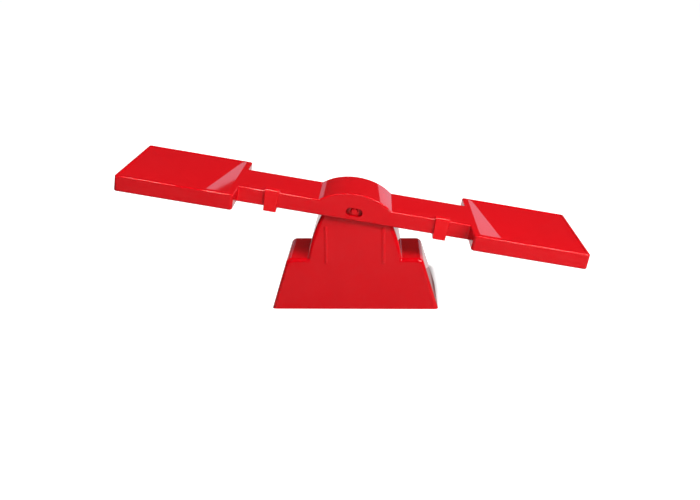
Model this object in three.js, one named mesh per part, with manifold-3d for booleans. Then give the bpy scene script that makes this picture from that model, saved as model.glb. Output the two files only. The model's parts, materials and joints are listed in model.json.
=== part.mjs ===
// Toy balance scale: a one-piece see-saw beam with two square trays that rocks on a hollow tower.
// Everything is moulded in red plastic. Two clips slide along the arms to set the zero.
// Millimetres, +Z up, +X along the beam to the right, front towards -Y, origin under the base.

import * as THREE from 'three';
import { mergeVertices } from 'three/addons/utils/BufferGeometryUtils.js';
import Module from 'manifold-3d';

const wasm = await Module();
wasm.setup();

// Fits
const CLEARANCE = 0.3;
const CUT_OVER = 2;

// Base: a hollow tower with a shoulder each side, open underneath
const BASE_WIDTH = 137;
const BASE_DEPTH = 64.6;
const BASE_WALL = 2.4;
const BASE_EDGE_RADIUS = 2.2;
const SIDE_LEAN = 0.31;
const FRONT_LEAN = 0.13;
const SHOULDER_HEIGHT = 42.5;
const SHOULDER_CORNER_RADIUS = 5;
const TOWER_HEIGHT = 87.5;
const TOWER_FOOT_WIDTH = 76.4;
const TOWER_FOOT_RADIUS = 2;
const TOWER_TOP_RADIUS = 14;
const FLANK_RADIUS = 87.5;
const FLANK_START = 3;
const FLANK_FOOT_LEAN = THREE.MathUtils.degToRad(7.6);
const FLANK_TOP_LEAN = THREE.MathUtils.degToRad(32);
const RIB_SPACING = 46.6;
const RIB_WIDTH = 3.6;
const RIB_RISE = 0.25;
const RIB_FOOT_HEIGHT = 39;
const RIB_LENGTH = 30;

// Pivot: a round pin through the tower, held in a tube whose ends keep the beam in its middle
const PIVOT_HEIGHT = 82.5;
const PIN_DIAMETER = 5;
const PIN_END_SET_BACK = 0.6;
const PIN_TUBE_WALL = 1.6;

// Beam: arms, arched hub and trays in one shell, open underneath
const BEAM_LENGTH = 370;
const BEAM_HEIGHT = 12.8;
const BEAM_WALL = 2.2;
const BEAM_EDGE_RADIUS = 0.8;
const BEAM_TILT = THREE.MathUtils.degToRad(10.1);
const TOP_OVER_PIVOT = 5.3;
const ARM_DEPTH = 52;

// Hub: an arch over the tower, with an obround slot for the pin in each wall
const HUB_LENGTH = 59;
const HUB_RISE = 10.1;
const HUB_FLANK_ANGLE = THREE.MathUtils.degToRad(33);
const SLOT_LENGTH = 13.3;
const SLOT_HEIGHT = 6.6;

// Trays: a shallow floor inside a rim, deepest at the front beside a ramp on the hub side
const TRAY_LENGTH = 91.5;
const TRAY_DEPTH = 101;
const TRAY_CORNER_RADIUS = 2.5;
const HUB_RIM = 4.9;
const OUTER_RIM = 2.4;
const FRONT_RIM = 4.4;
const BACK_RIM = 2.6;
const FLOOR_DROP_FRONT = 3;
const FLOOR_DROP_BACK = 0.5;
const FLOOR_DROP_OUTER = 0.6;
const RAMP_RUN = 20;
const FLOOR_CORNER_RADIUS = 2;

// Zero clips: a channel round the arm from below, with a finger lip over the front edge
const CLIP_TOP_WIDTH = 11.7;
const CLIP_FOOT_WIDTH = 10.2;
const CLIP_THICKNESS = 2;
const CLIP_FOOT_THICKNESS = 3;
const CLIP_LIP_REACH = 3.6;
const CLIP_BACK_DROP = 1.4;
const CLIP_EDGE_RADIUS = 0.9;
const LEFT_CLIP_PLACE = -67;
const RIGHT_CLIP_PLACE = 70;

// Plastic
const TOWER_RED = 0xcb1d22;
const PIN_RED = 0xc81a20;
const BEAM_RED = 0xd81c25;
const CLIP_RED = 0xe8232a;
const GLOSS_ROUGHNESS = 0.3;

// Facets
const EDGE_STEPS = 3;
const ARC_STEPS = 6;
const ARCH_STEPS = 20;
const ROUND_STEPS = 32;
const SAME_POINT = 1e-4;

// Derived places in the beam's own frame, whose origin is the pivot
const PIN_RADIUS = PIN_DIAMETER / 2;
const BEAM_TOP = TOP_OVER_PIVOT;
const BEAM_FOOT = TOP_OVER_PIVOT - BEAM_HEIGHT;
const TRAY_OUTER = BEAM_LENGTH / 2;
const TRAY_INNER = TRAY_OUTER - TRAY_LENGTH;
const SLOT_CENTRE_HEIGHT = PIN_RADIUS + CLEARANCE - SLOT_HEIGHT / 2;

// Solids

// A closed three.js geometry as a solid that can be joined and cut
function toSolid(geometry) {
  const bare = geometry.clone();
  bare.deleteAttribute('normal');
  bare.deleteAttribute('uv');
  const merged = mergeVertices(bare, SAME_POINT);
  return new wasm.Manifold(new wasm.Mesh({
    numProp: 3,
    vertProperties: new Float32Array(merged.attributes.position.array),
    triVerts: new Uint32Array(merged.index.array),
  }));
}

function toGeometry(solid) {
  const mesh = solid.getMesh();
  const geometry = new THREE.BufferGeometry();
  geometry.setAttribute('position', new THREE.BufferAttribute(mesh.vertProperties, 3));
  geometry.setIndex(new THREE.BufferAttribute(mesh.triVerts, 1));
  geometry.computeVertexNormals();
  return geometry;
}

// A closed outline through corners [x, y, radius], with a tangent arc at each corner that has a radius
function roundedShape(corners) {
  const shape = new THREE.Shape();
  const count = corners.length;
  corners.forEach(([x, y, radius = 0], index) => {
    const corner = new THREE.Vector2(x, y);
    if (radius === 0) {
      if (index === 0) shape.moveTo(x, y);
      else shape.lineTo(x, y);
      return;
    }
    const before = corners[(index + count - 1) % count];
    const after = corners[(index + 1) % count];
    const toBefore = new THREE.Vector2(before[0] - x, before[1] - y).normalize();
    const toAfter = new THREE.Vector2(after[0] - x, after[1] - y).normalize();
    const half = Math.acos(THREE.MathUtils.clamp(toBefore.dot(toAfter), -1, 1)) / 2;
    const start = toBefore.clone().multiplyScalar(radius / Math.tan(half)).add(corner);
    const end = toAfter.clone().multiplyScalar(radius / Math.tan(half)).add(corner);
    const inward = toBefore.clone().add(toAfter).normalize();
    const centre = inward.multiplyScalar(radius / Math.sin(half)).add(corner);
    const clockwise = toBefore.cross(toAfter) > 0;
    if (index === 0) shape.moveTo(start.x, start.y);
    else shape.lineTo(start.x, start.y);
    shape.absarc(
      centre.x, centre.y, radius,
      Math.atan2(start.y - centre.y, start.x - centre.x),
      Math.atan2(end.y - centre.y, end.x - centre.x),
      clockwise,
    );
  });
  shape.closePath();
  return shape;
}

function rectangle(x0, x1, y0, y1, radius = 0) {
  return roundedShape([[x0, y0, radius], [x1, y0, radius], [x1, y1, radius], [x0, y1, radius]]);
}

// Extrusion settings for a length that includes rounded ends of the given radius
function extrusion(length, radius, steps) {
  return {
    depth: length - 2 * radius,
    bevelEnabled: radius > 0,
    bevelThickness: radius,
    bevelSize: radius,
    bevelOffset: -radius,
    bevelSegments: EDGE_STEPS,
    curveSegments: steps,
  };
}

// A shape drawn in X and Z, extruded along Y and centred on it, with ends that may lean in towards the top
function alongY(shape, length, radius = 0, steps = ARC_STEPS, lean = 0) {
  const geometry = new THREE.ExtrudeGeometry(shape, extrusion(length, radius, steps));
  geometry.translate(0, 0, radius - length / 2);
  geometry.rotateX(Math.PI / 2);
  const places = geometry.attributes.position;
  for (let index = 0; index < places.count; index += 1) {
    const y = places.getY(index);
    places.setY(index, y - Math.sign(y) * lean * places.getZ(index));
  }
  return toSolid(geometry);
}

// A shape drawn in Y and Z, extruded along X and centred on the given place
function alongX(shape, length, place, radius = 0) {
  const geometry = new THREE.ExtrudeGeometry(shape, extrusion(length, radius, ARC_STEPS));
  geometry.translate(0, 0, radius - length / 2);
  const turn = new THREE.Matrix4().makeBasis(
    new THREE.Vector3(0, 1, 0), new THREE.Vector3(0, 0, 1), new THREE.Vector3(1, 0, 0),
  );
  geometry.applyMatrix4(turn);
  geometry.translate(place, 0, 0);
  return toSolid(geometry);
}

// A shape drawn in X and Y, extruded from one height to another
function alongZ(shape, low, high, radius = 0) {
  const geometry = new THREE.ExtrudeGeometry(shape, extrusion(high - low, radius, ARC_STEPS));
  geometry.translate(0, 0, low + radius);
  return toSolid(geometry);
}

// A round rod along Y at the given height
function rod(diameter, length, height) {
  const geometry = new THREE.CylinderGeometry(diameter / 2, diameter / 2, length, ROUND_STEPS);
  geometry.translate(0, 0, height);
  return toSolid(geometry);
}

// Base

// The knee where the straight foot and top of the tower's flank would meet, moved inwards. An arc rounds it.
function flankKnee(inset) {
  const turn = FLANK_TOP_LEAN - FLANK_FOOT_LEAN;
  const middle = (FLANK_TOP_LEAN + FLANK_FOOT_LEAN) / 2;
  const rise = FLANK_START + FLANK_RADIUS * Math.tan(turn / 2) * Math.cos(FLANK_FOOT_LEAN);
  const shift = inset / Math.cos(turn / 2);
  return new THREE.Vector2(
    TOWER_FOOT_WIDTH / 2 - rise * Math.tan(FLANK_FOOT_LEAN) - shift * Math.cos(middle),
    SHOULDER_HEIGHT + rise - shift * Math.sin(middle),
  );
}

// The base's outline seen from the front, moved inwards by a wall, from below the ground to the tower's top
function baseShape(inset) {
  const sideShift = inset * Math.hypot(1, SIDE_LEAN);
  const shoulder = SHOULDER_HEIGHT - inset;
  const top = TOWER_HEIGHT - inset;
  const ground = -BASE_EDGE_RADIUS - CUT_OVER;
  const knee = flankKnee(inset);
  const flankRadius = FLANK_RADIUS - inset;
  const arcReach = flankRadius * Math.tan((FLANK_TOP_LEAN - FLANK_FOOT_LEAN) / 2);
  const topRoom = (top - knee.y) / Math.cos(FLANK_TOP_LEAN) - arcReach;
  const topRadius = Math.min(TOWER_TOP_RADIUS - inset, topRoom / Math.tan(Math.PI / 4 - FLANK_TOP_LEAN / 2));
  const sideAt = (height) => BASE_WIDTH / 2 - SIDE_LEAN * height - sideShift;
  const half = [
    [sideAt(ground), ground],
    [sideAt(shoulder), shoulder, SHOULDER_CORNER_RADIUS - inset],
    [knee.x + (knee.y - shoulder) * Math.tan(FLANK_FOOT_LEAN), shoulder, TOWER_FOOT_RADIUS + inset],
    [knee.x, knee.y, flankRadius],
    [knee.x - (top - knee.y) * Math.tan(FLANK_TOP_LEAN), top, topRadius],
  ];
  const mirrored = half.map(([x, ...rest]) => [-x, ...rest]).reverse();
  return roundedShape([...half, ...mirrored]);
}

function makeBase() {
  const below = rectangle(-BASE_WIDTH, BASE_WIDTH, -BASE_DEPTH, BASE_DEPTH);
  const underGround = alongZ(below, -BASE_EDGE_RADIUS - 2 * CUT_OVER, 0);
  const outer = alongY(baseShape(0), BASE_DEPTH, BASE_EDGE_RADIUS, ARC_STEPS, FRONT_LEAN);
  const hollow = alongY(baseShape(BASE_WALL), BASE_DEPTH - 2 * BASE_WALL, 0, ARC_STEPS, FRONT_LEAN);
  const tubeDiameter = PIN_DIAMETER + 2 * (CLEARANCE + PIN_TUBE_WALL);
  const tube = rod(tubeDiameter, ARM_DEPTH - 2 * (BEAM_WALL + CLEARANCE), PIVOT_HEIGHT);
  const bore = rod(PIN_DIAMETER + 2 * CLEARANCE, ARM_DEPTH, PIVOT_HEIGHT);
  const ribs = [-1, 1].map((side) => {
    const middle = side * RIB_SPACING / 2;
    const front = rectangle(
      middle - RIB_WIDTH / 2, middle + RIB_WIDTH / 2, RIB_FOOT_HEIGHT, RIB_FOOT_HEIGHT + RIB_LENGTH,
    );
    return alongY(front, BASE_DEPTH + 2 * RIB_RISE, 0, ARC_STEPS, FRONT_LEAN);
  });
  return outer
    .add(ribs[0])
    .add(ribs[1])
    .subtract(hollow)
    .add(tube)
    .subtract(bore)
    .subtract(underGround);
}

// Beam

// The outline of arms and hub seen from the front, or of the hollow that lies a wall inside it
function armShape(halfLength, inset, foot) {
  const top = BEAM_TOP - inset;
  const lean = Math.tan(HUB_FLANK_ANGLE);
  const flankFoot = HUB_LENGTH / 2 - inset * Math.tan(HUB_FLANK_ANGLE / 2);
  const crown = BEAM_TOP + HUB_RISE - inset;
  const peak = top + flankFoot * lean;
  const radius = (peak - crown) / (1 / Math.cos(HUB_FLANK_ANGLE) - 1);
  return roundedShape([
    [-halfLength, foot],
    [halfLength, foot],
    [halfLength, top],
    [flankFoot, top],
    [0, peak, radius],
    [-flankFoot, top],
    [-halfLength, top],
  ]);
}

// How far the tray's floor lies below the rim at a place across the tray
function floorDrop(place) {
  const back = TRAY_DEPTH / 2 - BACK_RIM;
  const front = FRONT_RIM - TRAY_DEPTH / 2;
  return FLOOR_DROP_BACK + (FLOOR_DROP_FRONT - FLOOR_DROP_BACK) * (back - place) / (back - front);
}

// A plan rectangle of one tray, moved inwards by the four rims
function trayPlan(side, hubRim, outerRim, frontRim, backRim, radius) {
  const ends = [side * (TRAY_INNER + hubRim), side * (TRAY_OUTER - outerRim)];
  return rectangle(
    Math.min(...ends), Math.max(...ends), frontRim - TRAY_DEPTH / 2, TRAY_DEPTH / 2 - backRim, radius,
  );
}

// The space above a tray's floor and ramp
function trayRecess(side) {
  const over = BEAM_TOP + CUT_OVER;
  const edge = TRAY_DEPTH / 2;
  const rampTop = TRAY_INNER + HUB_RIM;
  const plan = trayPlan(side, HUB_RIM, OUTER_RIM, FRONT_RIM, BACK_RIM, FLOOR_CORNER_RADIUS);
  const overFloor = roundedShape([
    [-edge, BEAM_TOP - floorDrop(-edge)],
    [edge, BEAM_TOP - floorDrop(edge)],
    [edge, over],
    [-edge, over],
  ]);
  const overRamp = roundedShape([
    [side * rampTop, over],
    [side * rampTop, BEAM_TOP],
    [side * (rampTop + RAMP_RUN), BEAM_TOP - FLOOR_DROP_FRONT],
    [side * (TRAY_OUTER - OUTER_RIM), BEAM_TOP - FLOOR_DROP_OUTER],
    [side * TRAY_OUTER, over],
  ]);
  return alongZ(plan, BEAM_FOOT, over)
    .intersect(alongX(overFloor, BEAM_LENGTH, 0))
    .intersect(alongY(overRamp, TRAY_DEPTH));
}

// The hollow under a tray, a wall below its floor and its ramp, which rise to the same heights
function trayHollow(side) {
  const under = BEAM_FOOT - CUT_OVER;
  const edge = TRAY_DEPTH / 2;
  const rampTop = TRAY_INNER + HUB_RIM;
  const inside = BEAM_TOP - BEAM_WALL;
  const innerRadius = Math.max(TRAY_CORNER_RADIUS - BEAM_WALL, 0);
  const plan = trayPlan(side, BEAM_WALL, BEAM_WALL, BEAM_WALL, BEAM_WALL, innerRadius);
  const underFloor = roundedShape([
    [-edge, under],
    [edge, under],
    [edge, inside - floorDrop(edge)],
    [-edge, inside - floorDrop(-edge)],
  ]);
  const underRamp = roundedShape([
    [side * TRAY_INNER, under],
    [side * TRAY_OUTER, under],
    [side * TRAY_OUTER, inside - FLOOR_DROP_OUTER],
    [side * (rampTop + RAMP_RUN), inside - FLOOR_DROP_FRONT],
    [side * rampTop, inside],
    [side * TRAY_INNER, inside],
  ]);
  return alongZ(plan, under, BEAM_TOP)
    .intersect(alongX(underFloor, BEAM_LENGTH, 0).add(alongY(underRamp, TRAY_DEPTH)));
}

// The end of the hub's hollow, whose lower edge meets the tower's flank at the tilt that it rests at
function hubStop() {
  const outwards = new THREE.Vector2(Math.cos(BEAM_TILT), -Math.sin(BEAM_TILT));
  const edge = new THREE.Vector2(Math.sin(BEAM_TILT), Math.cos(BEAM_TILT)).multiplyScalar(BEAM_FOOT);
  const flankCentre = flankKnee(FLANK_RADIUS);
  edge.y += PIVOT_HEIGHT;
  edge.sub(flankCentre);
  const nearest = edge.dot(outwards);
  const reach = FLANK_RADIUS + CLEARANCE;
  return Math.sqrt(reach ** 2 + nearest ** 2 - edge.lengthSq()) - nearest;
}

function makeBeam() {
  const stop = hubStop();
  const armLength = TRAY_INNER - stop - BEAM_WALL;
  const hollowDepth = ARM_DEPTH - 2 * BEAM_WALL;
  const arms = armShape(TRAY_INNER + 2 * BEAM_WALL, 0, BEAM_FOOT);
  const hubHollow = armShape(stop, BEAM_WALL, BEAM_FOOT - CUT_OVER);
  const slot = rectangle(
    -SLOT_LENGTH / 2, SLOT_LENGTH / 2,
    SLOT_CENTRE_HEIGHT - SLOT_HEIGHT / 2, SLOT_CENTRE_HEIGHT + SLOT_HEIGHT / 2,
    SLOT_HEIGHT / 2,
  );
  let beam = alongY(arms, ARM_DEPTH, BEAM_EDGE_RADIUS, ARCH_STEPS);
  for (const side of [-1, 1]) {
    const plan = trayPlan(side, 0, 0, 0, 0, TRAY_CORNER_RADIUS);
    beam = beam.add(alongZ(plan, BEAM_FOOT, BEAM_TOP, BEAM_EDGE_RADIUS));
  }
  for (const side of [-1, 1]) {
    const armHollow = rectangle(
      side * (stop + BEAM_WALL + armLength / 2) - armLength / 2,
      side * (stop + BEAM_WALL + armLength / 2) + armLength / 2,
      BEAM_FOOT - CUT_OVER, BEAM_TOP - BEAM_WALL,
    );
    beam = beam
      .subtract(trayRecess(side))
      .subtract(trayHollow(side))
      .subtract(alongY(armHollow, hollowDepth));
  }
  return beam
    .subtract(alongY(hubHollow, hollowDepth, 0, ARCH_STEPS))
    .subtract(alongY(slot, ARM_DEPTH + CUT_OVER));
}

// Zero clip

// The clip's outline seen along the arm, cut to a width that narrows towards its foot
function makeClip(place) {
  const innerFront = -ARM_DEPTH / 2 - CLEARANCE;
  const innerBack = ARM_DEPTH / 2 + CLEARANCE;
  const front = innerFront - CLIP_THICKNESS;
  const back = innerBack + CLIP_THICKNESS;
  const lipFoot = BEAM_TOP + CLEARANCE;
  const lipTop = lipFoot + CLIP_THICKNESS;
  const bar = BEAM_FOOT - CLEARANCE;
  const foot = bar - CLIP_FOOT_THICKNESS;
  const lipEnd = innerFront + CLIP_LIP_REACH;
  const backTop = BEAM_TOP - CLIP_BACK_DROP;
  const around = roundedShape([
    [front, foot, CLIP_EDGE_RADIUS],
    [back, foot, CLIP_EDGE_RADIUS],
    [back, backTop, CLIP_EDGE_RADIUS],
    [innerBack, backTop],
    [innerBack, bar],
    [innerFront, bar],
    [innerFront, lipFoot],
    [lipEnd, lipFoot],
    [lipEnd, lipTop, CLIP_EDGE_RADIUS],
    [front, lipTop, CLIP_THICKNESS],
  ]);
  const taper = roundedShape([
    [place - CLIP_FOOT_WIDTH / 2, foot - CUT_OVER],
    [place + CLIP_FOOT_WIDTH / 2, foot - CUT_OVER],
    [place + CLIP_TOP_WIDTH / 2, lipTop + CUT_OVER],
    [place - CLIP_TOP_WIDTH / 2, lipTop + CUT_OVER],
  ]);
  return alongX(around, CLIP_TOP_WIDTH + 2 * CUT_OVER, place)
    .intersect(alongY(taper, back - front + CUT_OVER));
}

// Assembly

function piece(name, solid, color) {
  const material = new THREE.MeshStandardMaterial({ color, roughness: GLOSS_ROUGHNESS, metalness: 0 });
  const mesh = new THREE.Mesh(toGeometry(solid), material);
  mesh.name = name;
  return mesh;
}

const pinLength = ARM_DEPTH - 2 * PIN_END_SET_BACK;
const pivotPin = piece('pivot_pin', rod(PIN_DIAMETER, pinLength, PIVOT_HEIGHT), PIN_RED);

const rocker = new THREE.Group();
rocker.position.set(0, 0, PIVOT_HEIGHT);
rocker.rotation.y = BEAM_TILT;
rocker.add(
  piece('beam', makeBeam(), BEAM_RED),
  piece('left_zero_clip', makeClip(LEFT_CLIP_PLACE), CLIP_RED),
  piece('right_zero_clip', makeClip(RIGHT_CLIP_PLACE), CLIP_RED),
);

const balance = new THREE.Group();
balance.add(piece('base', makeBase(), TOWER_RED), pivotPin, rocker);

export default balance;
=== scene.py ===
import json
import math

import bmesh
import bpy
from mathutils import Matrix, Vector


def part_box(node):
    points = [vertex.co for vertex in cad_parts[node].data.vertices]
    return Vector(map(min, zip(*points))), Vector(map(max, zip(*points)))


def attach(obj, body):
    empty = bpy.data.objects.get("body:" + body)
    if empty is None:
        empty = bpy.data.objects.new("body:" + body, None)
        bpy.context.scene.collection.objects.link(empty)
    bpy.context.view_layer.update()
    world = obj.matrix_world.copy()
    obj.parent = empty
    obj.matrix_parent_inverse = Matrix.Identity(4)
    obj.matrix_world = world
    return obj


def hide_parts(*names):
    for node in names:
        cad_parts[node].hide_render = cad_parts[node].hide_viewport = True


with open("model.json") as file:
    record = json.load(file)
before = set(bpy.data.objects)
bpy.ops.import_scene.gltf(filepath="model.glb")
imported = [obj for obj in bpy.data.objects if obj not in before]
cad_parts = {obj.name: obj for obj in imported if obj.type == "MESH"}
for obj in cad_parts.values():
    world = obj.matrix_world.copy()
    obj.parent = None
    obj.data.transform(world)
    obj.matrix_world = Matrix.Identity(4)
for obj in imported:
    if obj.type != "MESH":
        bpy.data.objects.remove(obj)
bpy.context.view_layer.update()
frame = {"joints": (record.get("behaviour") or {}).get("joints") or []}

# Base: one hollow injection moulding, open underneath, on whose lower rim the balance stands. A tower with
# curved flanks rises between two shoulders, and front and back lean in towards the top. Two very shallow
# ribs run up the front and the back of the tower, and a tube inside it holds the pin.

MM = 0.001
base_half_width, base_half_depth, tower_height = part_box("base")[1]
base_wall = 2.4 * MM
base_edge_radius = 3 * MM
side_lean = 0.31
front_lean = 0.13
shoulder_height = 42.5 * MM
shoulder_corner_radius = 5 * MM
tower_foot_half_width = 38.2 * MM
tower_foot_radius = 0.8 * MM
tower_top_radius = 14 * MM
flank_radius = 87.5 * MM
flank_start = 3 * MM
flank_foot_lean = math.radians(7.6)
flank_top_lean = math.radians(32)
rib_middle = 23.3 * MM
rib_half_width = 1.8 * MM
rib_rise = 0.6 * MM
rib_foot = 39 * MM
rib_top = 69 * MM
cut_over = 2 * MM


def pull(corners, by):
    """A solid: a face through the corners, extruded by a vector."""
    bm = bmesh.new()
    face = bm.faces.new([bm.verts.new(corner) for corner in corners])
    pulled = bmesh.ops.extrude_face_region(bm, geom=[face])
    moved = [part for part in pulled["geom"] if isinstance(part, bmesh.types.BMVert)]
    bmesh.ops.translate(bm, verts=moved, vec=by)
    bmesh.ops.recalc_face_normals(bm, faces=bm.faces)
    return bm


def edges_where(bm, test):
    """The edges both of whose ends pass a test on their place."""
    return [edge for edge in bm.edges if all(test(vert.co) for vert in edge.verts)]


def round_edges(bm, edges, radius, segments):
    """Rounds edges that all turn by the same angle to a radius."""
    turn = edges[0].calc_face_angle()
    bmesh.ops.bevel(
        bm, geom=edges, offset=radius * math.tan(turn / 2), offset_type="OFFSET",
        segments=segments, profile=0.5, affect="EDGES", material=-1, clamp_overlap=False,
    )


def near(value, target):
    """Whether two lengths are the same to a hundredth of a millimetre."""
    return abs(value - target) < 0.01 * MM


def new_piece(name, bm):
    """Puts a finished bmesh into the scene as an object at the origin."""
    mesh = bpy.data.meshes.new(name)
    bm.to_mesh(mesh)
    bm.free()
    piece = bpy.data.objects.new(name, mesh)
    bpy.context.scene.collection.objects.link(piece)
    return piece


def join_or_cut(piece, bm, operation):
    """Joins a solid to a piece, or cuts the piece with it."""
    tool = new_piece("tool", bm)
    modifier = piece.modifiers.new("solid", "BOOLEAN")
    modifier.operation = operation
    modifier.solver = "EXACT"
    modifier.object = tool
    shaped = piece.evaluated_get(bpy.context.evaluated_depsgraph_get())
    mesh = bpy.data.meshes.new_from_object(shaped)
    mesh.name = piece.name
    piece.modifiers.clear()
    piece.data = mesh
    bpy.data.objects.remove(tool)


def lean_in(bm):
    """Leans the front and the back of a solid in towards the top."""
    for vert in bm.verts:
        vert.co.y -= math.copysign(front_lean * vert.co.z, vert.co.y)


def base_solid(inset, half_depth, edge_radius):
    """The base's outer body, or the hollow a wall inside it. Both start below the table's level."""
    under_table = -2 * base_edge_radius
    shoulder = shoulder_height - inset
    top = tower_height - inset
    side_shift = inset * math.hypot(1, side_lean)
    foot_x = base_half_width - side_lean * under_table - side_shift
    shoulder_x = base_half_width - side_lean * shoulder - side_shift
    turn = flank_top_lean - flank_foot_lean
    middle_lean = (flank_top_lean + flank_foot_lean) / 2
    rise = flank_start + flank_radius * math.tan(turn / 2) * math.cos(flank_foot_lean)
    knee_shift = inset / math.cos(turn / 2)
    knee_x = tower_foot_half_width - rise * math.tan(flank_foot_lean) - knee_shift * math.cos(middle_lean)
    knee = shoulder_height + rise - knee_shift * math.sin(middle_lean)
    notch_x = knee_x + (knee - shoulder) * math.tan(flank_foot_lean)
    top_x = knee_x - (top - knee) * math.tan(flank_top_lean)
    right = [(foot_x, under_table), (shoulder_x, shoulder), (notch_x, shoulder), (knee_x, knee),
             (top_x, top)]
    outline = right + [(-x, z) for x, z in reversed(right)]
    bm = pull([(x, -half_depth, z) for x, z in outline], (0, 2 * half_depth, 0))
    rounds = [
        (top_x, top, tower_top_radius - inset, 20),
        (knee_x, knee, flank_radius - inset, 24),
        (shoulder_x, shoulder, shoulder_corner_radius - inset, 10),
        (notch_x, shoulder, tower_foot_radius + inset, 6),
    ]
    for x, z, radius, segments in rounds:
        corners = edges_where(bm, lambda co: near(abs(co.x), x) and near(co.z, z))
        lengthwise = [edge for edge in corners if not near(edge.verts[0].co.y, edge.verts[1].co.y)]
        round_edges(bm, lengthwise, radius, segments)
    if edge_radius:
        rim = edges_where(bm, lambda co: near(abs(co.y), half_depth))
        rim = [edge for edge in rim if near(edge.verts[0].co.y, edge.verts[1].co.y)
               and not all(near(vert.co.z, under_table) for vert in edge.verts)]
        round_edges(bm, rim, edge_radius, segments=6)
    lean_in(bm)
    return bm


def rib_solid(x, side):
    """A rib with two flat slopes on the front or the back, rooted a little way in the wall."""
    root = 2 * rib_rise
    root_half_width = rib_half_width * (rib_rise + root) / rib_rise
    section = [(x - root_half_width, -root), (x + root_half_width, -root), (x, rib_rise)]
    corners = [(along, side * (base_half_depth + out), rib_foot) for along, out in section]
    bm = pull(corners, (0, 0, rib_top - rib_foot))
    lean_in(bm)
    return bm


base = new_piece("base_moulding", base_solid(0, base_half_depth, base_edge_radius))
for rib_x in (-rib_middle, rib_middle):
    join_or_cut(base, rib_solid(rib_x, -1), "UNION")
    join_or_cut(base, rib_solid(rib_x, 1), "UNION")
join_or_cut(base, base_solid(base_wall, base_half_depth - base_wall, 0), "DIFFERENCE")

joints = {joint["name"]: joint for joint in frame["joints"]}
pivot = Vector(joints["beam_rock"]["pos_m"])
clearance = 0.3 * MM
pin_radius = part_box("pivot_pin")[1].z - pivot.z
tube_wall = 1.6 * MM
tube_half_length = 23.5 * MM
rod_segments = 48
cut_reach = 1


def rod(radius, half_length):
    """A round rod along Y through the pivot."""
    bm = bmesh.new()
    bmesh.ops.create_cone(
        bm, cap_ends=True, segments=rod_segments, radius1=radius, radius2=radius, depth=2 * half_length,
    )
    bmesh.ops.rotate(bm, verts=bm.verts, matrix=Matrix.Rotation(math.pi / 2, 3, "X"))
    bmesh.ops.translate(bm, verts=bm.verts, vec=pivot)
    return bm


table_corners = [(-cut_reach, -cut_reach, 0), (cut_reach, -cut_reach, 0), (cut_reach, cut_reach, 0),
                 (-cut_reach, cut_reach, 0)]
below_table = pull(table_corners, (0, 0, -cut_reach))
join_or_cut(base, rod(pin_radius + clearance + tube_wall, tube_half_length), "UNION")
join_or_cut(base, rod(pin_radius + clearance, base_half_depth + cut_over), "DIFFERENCE")
join_or_cut(base, below_table, "DIFFERENCE")


def srgb(colour):
    """A linear colour from an sRGB hex value."""
    parts = [int(colour[i:i + 2], 16) / 255 for i in (1, 3, 5)]
    return [c / 12.92 if c <= 0.04045 else ((c + 0.055) / 1.055) ** 2.4 for c in parts] + [1]


def add_node(tree, kind, inputs=None, **settings):
    """Adds a node with its settings, and fills its inputs with values or with other nodes' outputs."""
    node = tree.nodes.new(kind)
    for name, value in settings.items():
        setattr(node, name, value)
    for name, value in (inputs or {}).items():
        if isinstance(value, bpy.types.NodeSocket):
            tree.links.new(value, node.inputs[name])
        else:
            node.inputs[name].default_value = value
    return node


def moulded_polystyrene(name, colour, flow_colour):
    """Polystyrene moulded in a polished tool: a deep even red with a wet gloss. The melt's flow shows as
    faint cloudy streaks, the tool's polish as a very slight ripple, and handling as fine dull scuffs. The
    IOR is matched to the object, which mirrors less than solid polystyrene does."""
    material = bpy.data.materials.new(name)
    material.use_nodes = True
    tree = material.node_tree
    tree.nodes.clear()
    flow_size = 45 * MM
    flow_curl = 1.2
    ripple_size = 9 * MM
    ripple_height = 0.02 * MM
    ripple_strength = 0.25
    scuff_size = 2.5 * MM
    scuff_turn = (0.3, 0.5, 0.7)
    scuff_stretch = (1, 0.12, 1)
    scuff_start = 0.45
    scuff_full = 0.8
    polished_roughness = 0.03
    scuffed_roughness = 0.06
    ior = 1.4
    place = add_node(tree, "ShaderNodeTexCoord").outputs["Object"]
    flow = add_node(
        tree, "ShaderNodeTexNoise",
        {"Vector": place, "Scale": 1 / flow_size, "Detail": 3, "Distortion": flow_curl},
    )
    tint = add_node(
        tree, "ShaderNodeMix",
        {0: flow.outputs["Fac"], 6: srgb(colour), 7: srgb(flow_colour)},
        data_type="RGBA",
    )
    stretched = add_node(
        tree, "ShaderNodeMapping",
        {"Vector": place, "Rotation": scuff_turn, "Scale": scuff_stretch},
    )
    scuffs = add_node(
        tree, "ShaderNodeTexNoise",
        {"Vector": stretched.outputs["Vector"], "Scale": 1 / scuff_size, "Detail": 4},
    )
    dull = add_node(
        tree, "ShaderNodeMapRange",
        {"Value": scuffs.outputs["Fac"], "From Min": scuff_start, "From Max": scuff_full,
         "To Min": polished_roughness, "To Max": scuffed_roughness},
    )
    ripple = add_node(
        tree, "ShaderNodeTexNoise",
        {"Vector": place, "Scale": 1 / ripple_size, "Detail": 1},
    )
    bump = add_node(
        tree, "ShaderNodeBump",
        {"Height": ripple.outputs["Fac"], "Strength": ripple_strength, "Distance": ripple_height},
    )
    shader = add_node(
        tree, "ShaderNodeBsdfPrincipled",
        {"Base Color": tint.outputs[2], "Roughness": dull.outputs["Result"],
         "IOR": ior, "Normal": bump.outputs["Normal"]},
    )
    add_node(tree, "ShaderNodeOutputMaterial", {"Surface": shader.outputs["BSDF"]})
    return material


crisp_turn = math.radians(25)
least_crease = math.radians(2)


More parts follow.
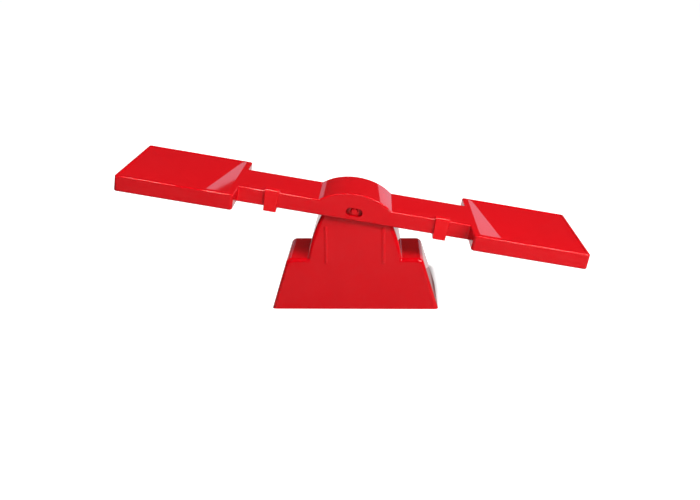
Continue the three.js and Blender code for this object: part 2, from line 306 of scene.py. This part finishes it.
def finish_piece(piece, material, node, body):
    """Gives a piece its even gloss, its material and its place on a body."""
    piece.data.shade_smooth()
    piece.data.set_sharp_from_angle(angle=crisp_turn)
    piece.data.materials.clear()
    piece.data.materials.append(material)
    shading = piece.modifiers.new("even gloss", "WEIGHTED_NORMAL")
    shading.mode = "FACE_AREA"
    shading.weight = 100
    shading.keep_sharp = True
    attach(piece, body)
    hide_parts(node)


def keep_crisp(piece, test):
    """Keeps edges that turn only a little crisp in the gloss, where they pass a test."""
    bm = bmesh.new()
    bm.from_mesh(piece.data)
    for edge in bm.edges:
        if edge.calc_face_angle(0) > least_crease and test(edge):
            edge.smooth = False
    bm.to_mesh(piece.data)
    bm.free()


rib_reach = 1.1 * rib_half_width
rib_margin = 1 * MM


def on_rib(edge):
    """Whether an edge lies on one of the base's ribs."""
    return all(abs(abs(vert.co.x) - rib_middle) < rib_reach
               and rib_foot - rib_margin < vert.co.z < rib_top + rib_margin for vert in edge.verts)


base_red = moulded_polystyrene("base_polystyrene", "#ce0612", "#c70410")
finish_piece(base, base_red, "base", "base")
keep_crisp(base, on_rib)

# Pivot pin: a plain round rod of moulded plastic, pushed through the tower's tube. Its ends stand in the
# slots of the hub, just inside the hub's walls, and their edges are slightly rounded.

pin_half_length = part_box("pivot_pin")[1].y
pin_edge_radius = 0.5 * MM

pin_bm = rod(pin_radius, pin_half_length)
for end in (-pin_half_length, pin_half_length):
    pin_rim = edges_where(pin_bm, lambda co: near(co.y, end))
    round_edges(pin_bm, pin_rim, pin_edge_radius, segments=4)
pin = new_piece("pivot_rod", pin_bm)
pin_red = moulded_polystyrene("pin_polystyrene", "#d80713", "#d00511")
finish_piece(pin, pin_red, "pivot_pin", "base")

# Beam: one long thin-walled moulding, open underneath. Two flat arms run from an arched hub, which
# straddles the tower, to a shallow square tray at each end. A tray's floor falls towards the front, and a
# flat ramp leads down to it from the hub's side. It is built level and then tilted as it rests.

beam_half_length = 185 * MM
beam_top = 5.3 * MM
beam_foot = -7.5 * MM
beam_wall = 2.2 * MM
beam_edge_radius = 1.2 * MM
arm_half_depth = 26 * MM
hub_half_length = 29.5 * MM
hub_rise = 10.1 * MM
hub_flank_angle = math.radians(34)
hub_stop = 33.27 * MM
slot_half_length = 6.65 * MM
slot_half_height = 3.3 * MM
slot_end_radius = 0.999 * slot_half_height
tray_length = 91.5 * MM
tray_half_depth = 50.5 * MM
tray_corner_radius = 2.5 * MM
tray_inner = beam_half_length - tray_length
arm_end = tray_inner + 2 * beam_wall
hub_rim = 4.9 * MM
outer_rim = 2.4 * MM
front_rim = 4.4 * MM
back_rim = 2.6 * MM
floor_drop_front = 3 * MM
floor_drop_back = 0.5 * MM
floor_drop_outer = 0.6 * MM
ramp_run = 20 * MM
floor_corner_radius = 2 * MM
slide_axis = joints["left_clip_slide"]["axis"]
tilt = math.atan2(-slide_axis[2], slide_axis[0])
beam_place = Matrix.Translation(pivot) @ Matrix.Rotation(tilt, 4, "Y")


def arm_solid(half_length, half_depth, inset, foot):
    """Arms and hub seen from the front, pulled across the beam, or the hub's hollow a wall inside it."""
    top = beam_top - inset
    flank_foot = hub_half_length - inset * math.tan(hub_flank_angle / 2)
    peak = top + flank_foot * math.tan(hub_flank_angle)
    crown = beam_top + hub_rise - inset
    radius = (peak - crown) / (1 / math.cos(hub_flank_angle) - 1)
    outline = [(-half_length, foot), (half_length, foot), (half_length, top), (flank_foot, top), (0, peak),
               (-flank_foot, top), (-half_length, top)]
    bm = pull([(x, -half_depth, z) for x, z in outline], (0, 2 * half_depth, 0))
    ridge = edges_where(bm, lambda co: near(co.z, peak))
    round_edges(bm, ridge, radius, segments=40)
    return bm


def block(low, high):
    """A rectangular block between two corners."""
    corners = [(low[0], low[1], low[2]), (high[0], low[1], low[2]), (high[0], high[1], low[2]),
               (low[0], high[1], low[2])]
    return pull(corners, (0, 0, high[2] - low[2]))


def upright_edges(bm):
    """The edges that run along Z."""
    return [edge for edge in bm.edges if near(edge.verts[0].co.x, edge.verts[1].co.x)
            and near(edge.verts[0].co.y, edge.verts[1].co.y)]


ramp_top = tray_inner + hub_rim
ramp_foot = ramp_top + ramp_run
floor_end = beam_half_length - outer_rim
floor_front = front_rim - tray_half_depth
floor_back = tray_half_depth - back_rim


def floor_depth(x, y):
    """How far a tray's floor and ramp lie below the rim at a place on it."""
    fall = (floor_drop_front - floor_drop_back) / (floor_back - floor_front)
    rise = (floor_drop_front - floor_drop_outer) / (floor_end - ramp_foot)
    drop = floor_drop_back + fall * (floor_back - y)
    ramp = (abs(x) - ramp_top) * floor_drop_front / ramp_run
    outer = floor_drop_front - rise * (abs(x) - ramp_foot)
    return max(0, min(drop, ramp, outer))


def split_floor(bm, side):
    """Cuts a tray's tool along the ramp's foot and across the floor, so that the floor can bend there."""
    ramp_back = ramp_top + ramp_run * floor_drop_back / floor_drop_front
    level = (floor_drop_outer - floor_drop_back) / (floor_drop_front - floor_drop_back)
    outer_back = floor_back - level * (floor_back - floor_front)
    front = Vector((side * ramp_foot, floor_front, 0))
    for end in (Vector((side * ramp_back, floor_back, 0)), Vector((side * floor_end, outer_back, 0))):
        along = end - front
        geometry = bm.verts[:] + bm.edges[:] + bm.faces[:]
        bmesh.ops.bisect_plane(bm, geom=geometry, plane_co=front, plane_no=(along.y, -along.x, 0))


def tray_recess(side):
    """The space above a tray's floor and ramp."""
    ends = sorted((side * ramp_top, side * floor_end))
    low = (ends[0], floor_front, beam_top)
    high = (ends[1], floor_back, beam_top + cut_over)
    bm = block(low, high)
    round_edges(bm, upright_edges(bm), floor_corner_radius, segments=8)
    split_floor(bm, side)
    for vert in bm.verts:
        if near(vert.co.z, beam_top):
            vert.co.z -= floor_depth(vert.co.x, vert.co.y)
    return bm


def tray_hollow(side):
    """The space under a tray, a wall below its floor and its ramp."""
    ends = sorted((side * (tray_inner + beam_wall), side * (beam_half_length - beam_wall)))
    inside = tray_half_depth - beam_wall
    roof = beam_top - beam_wall
    bm = block((ends[0], -inside, beam_foot - cut_over), (ends[1], inside, roof))
    geometry = bm.verts[:] + bm.edges[:] + bm.faces[:]
    bmesh.ops.bisect_plane(bm, geom=geometry, plane_co=(side * ramp_top, 0, 0), plane_no=(1, 0, 0))
    split_floor(bm, side)
    for vert in bm.verts:
        if near(vert.co.z, roof):
            vert.co.z -= floor_depth(vert.co.x, vert.co.y)
    return bm


def arm_hollow(side):
    """The space under an arm, between the hub's bulkhead and the tray's."""
    ends = sorted((side * (hub_stop + beam_wall), side * tray_inner))
    inside = arm_half_depth - beam_wall
    return block((ends[0], -inside, beam_foot - cut_over), (ends[1], inside, beam_top - beam_wall))


def slot_cutter():
    """The obround slot through both walls of the hub, under the arch."""
    middle = pin_radius + clearance - slot_half_height
    bm = pull(
        [(x, -arm_half_depth - cut_over, middle + z)
         for x, z in ((-slot_half_length, -slot_half_height), (slot_half_length, -slot_half_height),
                      (slot_half_length, slot_half_height), (-slot_half_length, slot_half_height))],
        (0, 2 * (arm_half_depth + cut_over), 0),
    )
    lengthwise = [edge for edge in bm.edges if not near(edge.verts[0].co.y, edge.verts[1].co.y)]
    round_edges(bm, lengthwise, slot_end_radius, segments=12)
    return bm


beam = new_piece("beam_moulding", arm_solid(arm_end, arm_half_depth, 0, beam_foot))
for side in (-1, 1):
    ends = sorted((side * tray_inner, side * beam_half_length))
    tray = block((ends[0], -tray_half_depth, beam_foot), (ends[1], tray_half_depth, beam_top))
    round_edges(tray, upright_edges(tray), tray_corner_radius, segments=8)
    join_or_cut(beam, tray, "UNION")

flat_turn = math.radians(0.2)
sharp_turn = math.radians(40)
beam_bm = bmesh.new()
beam_bm.from_mesh(beam.data)
bmesh.ops.dissolve_limit(beam_bm, angle_limit=flat_turn, verts=beam_bm.verts, edges=beam_bm.edges)
sharp = [edge for edge in beam_bm.edges if edge.calc_face_angle(0) > sharp_turn]
round_edges(beam_bm, sharp, beam_edge_radius, segments=4)
beam_bm.to_mesh(beam.data)
beam_bm.free()

for side in (-1, 1):
    join_or_cut(beam, tray_recess(side), "DIFFERENCE")
    join_or_cut(beam, tray_hollow(side), "DIFFERENCE")
    join_or_cut(beam, arm_hollow(side), "DIFFERENCE")
hub_hollow = arm_solid(hub_stop, arm_half_depth - beam_wall, beam_wall, beam_foot - cut_over)
join_or_cut(beam, hub_hollow, "DIFFERENCE")
join_or_cut(beam, slot_cutter(), "DIFFERENCE")
beam.data.transform(beam_place)
beam_red = moulded_polystyrene("beam_polystyrene", "#d80613", "#d20411")
finish_piece(beam, beam_red, "beam", "beam")

beam_up = beam_place.to_3x3() @ Vector((0, 0, 1))
steepest_floor = math.radians(10)


def on_tray_floor(edge):
    """Whether an edge is a crease between a tray's ramp, its floor and its rim."""
    return all(face.normal.angle(beam_up, math.pi) < steepest_floor for face in edge.link_faces)


keep_crisp(beam, on_tray_floor)

# Zero clips: two small springy plastic channels pushed on the arms from below, which slide along them to
# set the zero. A rounded finger lip hooks over the arm's front edge, and the clip narrows towards its foot.

clip_half_top = 5.85 * MM
clip_half_foot = 5.1 * MM
clip_thickness = 2 * MM
clip_foot_thickness = 3 * MM
clip_lip_reach = 3.6 * MM
clip_back_drop = 1.4 * MM
clip_edge_radius = 0.54 * MM
clip_red = moulded_polystyrene("clip_polystyrene", "#e60914", "#e00712")


def clip_solid(place):
    """A clip round the level arm, seen along it and pulled to its width."""
    inner = arm_half_depth + clearance
    outer = inner + clip_thickness
    lip_foot = beam_top + clearance
    lip_top = lip_foot + clip_thickness
    bar = beam_foot - clearance
    foot = bar - clip_foot_thickness
    back_top = beam_top - clip_back_drop
    lip_end = clip_lip_reach - inner
    outline = [(-outer, foot), (outer, foot), (outer, back_top), (inner, back_top), (inner, bar),
               (-inner, bar), (-inner, lip_foot), (lip_end, lip_foot), (lip_end, lip_top),
               (-outer, lip_top)]
    bm = pull([(place - clip_half_top, y, z) for y, z in outline], (2 * clip_half_top, 0, 0))
    narrowing = (clip_half_top - clip_half_foot) / (lip_top - foot)
    for vert in bm.verts:
        vert.co.x -= math.copysign(narrowing * (lip_top - vert.co.z), vert.co.x - place)
    hook = edges_where(bm, lambda co: near(co.y, -outer) and near(co.z, lip_top))
    round_edges(bm, hook, clip_thickness, segments=8)
    outside = [edge for edge in bm.edges if edge.is_convex and edge.calc_face_angle(0) > sharp_turn]
    round_edges(bm, outside, clip_edge_radius, segments=4)
    return bm


for name, body in (("left_zero_clip", "left_clip"), ("right_zero_clip", "right_clip")):
    low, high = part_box(name)
    middle = (low + high) / 2 - pivot
    place = middle.x * math.cos(tilt) - middle.z * math.sin(tilt)
    clip = new_piece(name + "_moulding", clip_solid(place))
    clip.data.transform(beam_place)
    finish_piece(clip, clip_red, name, body)

# Studio: a white table in a white room. A wide key lamp stands at the viewer's right, a soft lamp hangs
# over the front, and weak fills in front and behind open the shadows. Narrow strips draw the glints on the
# edges, and white cards and sheets show only where the gloss of the ramps, flanks and sides mirrors them.

# A painted shade: in this box behind the base the table's glow falls from white to a quarter, so the board
# shows grey there under any light
shade_middle = Vector((4, 23, 0)) * MM
shade_half_size = Vector((52, 37, 0)) * MM
shade_start = 11.5 * MM
shade_end = 16 * MM
shade_glow = 0.25
table_half_size = 20
table_grey = "#a4a4a4"

table_bm = bmesh.new()
bmesh.ops.create_grid(table_bm, x_segments=1, y_segments=1, size=table_half_size)
table = new_piece("table", table_bm)

# Painted board: matt, and white to the camera but for a painted shade behind the base, where its glow drops
# in a box and the real shadow also shows through
table_white = bpy.data.materials.new("painted_board")
table_white.use_nodes = True
table_tree = table_white.node_tree
table_tree.nodes.clear()
table_place = add_node(table_tree, "ShaderNodeTexCoord").outputs["Object"]
from_middle = add_node(
    table_tree, "ShaderNodeVectorMath", {0: table_place, 1: shade_middle}, operation="SUBTRACT",
)
either_way = add_node(
    table_tree, "ShaderNodeVectorMath", {0: from_middle.outputs[0]}, operation="ABSOLUTE",
)
past_side = add_node(
    table_tree, "ShaderNodeVectorMath", {0: either_way.outputs[0], 1: shade_half_size},
    operation="SUBTRACT",
)
outside = add_node(
    table_tree, "ShaderNodeVectorMath", {0: past_side.outputs[0], 1: (0, 0, 0)}, operation="MAXIMUM",
)
distance = add_node(table_tree, "ShaderNodeVectorMath", {0: outside.outputs[0]}, operation="LENGTH")
# The glow falls to shade_glow inside the shade box and rises to white past shade_end: a painted shade
white_out = add_node(
    table_tree, "ShaderNodeMapRange",
    {"Value": distance.outputs["Value"], "From Min": shade_start, "From Max": shade_end,
     "To Min": shade_glow, "To Max": 1},
)
table_seen = add_node(table_tree, "ShaderNodeLightPath").outputs["Is Camera Ray"]
glow_strength = add_node(
    table_tree, "ShaderNodeMath", {0: table_seen, 1: white_out.outputs["Result"]}, operation="MULTIPLY",
)
table_glow = add_node(table_tree, "ShaderNodeEmission", {"Strength": glow_strength.outputs[0]})
matt = add_node(table_tree, "ShaderNodeBsdfDiffuse", {"Color": srgb(table_grey)})
both = add_node(table_tree, "ShaderNodeAddShader", {0: table_glow.outputs[0], 1: matt.outputs[0]})
add_node(table_tree, "ShaderNodeOutputMaterial", {"Surface": both.outputs[0]})
table.data.materials.append(table_white)

lamp_target = Vector((0, 0, 0.08))
strip_distance = 0.6
strip_height = 0.95
strip_depth = 0.2


def soft_lamp(name, place, width, height, power):
    """A rectangular softbox that points at the middle of the balance."""
    lamp = bpy.data.lights.new(name, "AREA")
    lamp.shape = "RECTANGLE"
    lamp.size = width
    lamp.size_y = height
    lamp.energy = power
    holder = bpy.data.objects.new(name, lamp)
    holder.location = place
    holder.rotation_euler = (lamp_target - Vector(place)).to_track_quat("-Z", "Y").to_euler()
    bpy.context.scene.collection.objects.link(holder)
    return holder


soft_lamp("key_lamp", place=(0.56, -0.5, 0.7), width=0.5, height=0.18, power=5.6)
for name, across, width, power in (
    ("far_left_strip", -0.25, 0.1, 1.5),
    ("left_strip", -0.035, 0.19, 5),
    ("right_strip", 0.3, 0.3, 3.5),
):
    strip = soft_lamp(name, (across, -strip_distance, strip_height), width, strip_depth, power)
    strip.visible_diffuse = False
for name, place, width, height, power in (
    ("soft_front_lamp", (0.1, -0.45, 1.05), 0.5, 0.5, 7.5),
    ("front_fill", (0.8, -1.2, 0.3), 1, 0.5, 7.5),
    ("back_fill", (0, 1.4, 0.5), 2, 0.6, 26),
):
    fill = soft_lamp(name, place, width, height, power)
    fill.visible_glossy = False

room_light = 0.04
world = bpy.data.worlds.new("studio")
world.use_nodes = True
world_tree = world.node_tree
world_tree.nodes.clear()
room_seen = add_node(world_tree, "ShaderNodeLightPath").outputs["Is Camera Ray"]
room_glow = add_node(world_tree, "ShaderNodeMath", {0: room_seen, 1: room_light}, operation="MAXIMUM")
room = add_node(
    world_tree, "ShaderNodeBackground", {"Color": srgb("#ffffff"), "Strength": room_glow.outputs[0]},
)
add_node(world_tree, "ShaderNodeOutputWorld", {"Surface": room.outputs[0]})
bpy.context.scene.world = world

card_distance = 1.2
card_white = "#e8eaff"
sheet_height = 1 * MM
sheet_white = "#fff0f0"


def white_card(name, corners, colour, glow):
    """A flat white card that shows only where the plastic mirrors it."""
    bm = bmesh.new()
    bm.faces.new([bm.verts.new(corner) for corner in corners])
    card = new_piece(name, bm)
    card.visible_camera = False
    card.visible_diffuse = False
    card.visible_shadow = False
    material = bpy.data.materials.new(name)
    material.use_nodes = True
    tree = material.node_tree
    tree.nodes.clear()
    light = add_node(tree, "ShaderNodeEmission", {"Color": srgb(colour), "Strength": glow})
    add_node(tree, "ShaderNodeOutputMaterial", {"Surface": light.outputs[0]})
    card.data.materials.append(material)


for name, outline, glow in (
    ("left_low_card", [(-0.5, 0.002), (-0.25, 0.002), (-0.25, 0.222), (-0.369, 0.295), (-0.5, 0.375)], 0.5),
    ("left_high_card", [(-0.395, 0.4), (-0.268, 0.398), (-0.268, 0.4295), (-0.364, 0.4843),
                        (-0.388, 0.4846), (-0.395, 0.47)], 0.75),
    ("right_card", [(0.28, 0.002), (1, 0.002), (1, 0.25), (0.565, 0.312), (0.51, 0.328), (0.47, 0.322),
                    (0.395, 0.29), (0.366, 0.26), (0.28, 0.272)], 0.75),
):
    white_card(name, [(x, card_distance, z) for x, z in outline], card_white, glow)
for name, outline, glow in (
    ("near_sheet", [(0.07, -0.03), (0.9, -0.03), (0.9, 0.065), (0.07, 0.065)], 0.45),
    ("far_sheet", [(-0.9, 0.1), (0.07, 0.1), (0.07, 0.065), (0.9, 0.065), (0.9, 1.15), (-0.9, 1.15)], 0.85),
):
    white_card(name, [(x, y, sheet_height) for x, y in outline], sheet_white, glow)

# Camera: at the photograph's place and angle, a little right of the middle. It looks down on the beam from
# the front and leans very slightly.

camera_place = Vector((20.8, -632.3, 276.8)) * MM
camera_turn = math.radians(2.318)
camera_pitch = math.radians(20.48)
camera_roll = math.radians(-0.806)
focal_length_pixels = 800
image_width_pixels = 700

camera_data = bpy.data.cameras.new("camera")
camera_data.sensor_width = 36
camera_data.lens = camera_data.sensor_width * focal_length_pixels / image_width_pixels
camera_data.clip_end = 100
camera = bpy.data.objects.new("camera", camera_data)
camera.matrix_world = (
    Matrix.Translation(camera_place)
    @ Matrix.Rotation(camera_turn, 4, "Z")
    @ Matrix.Rotation(math.pi / 2 - camera_pitch, 4, "X")
    @ Matrix.Rotation(camera_roll, 4, "Z")
)
bpy.context.scene.collection.objects.link(camera)
bpy.context.scene.camera = camera
bpy.context.scene.view_settings.view_transform = "Standard"
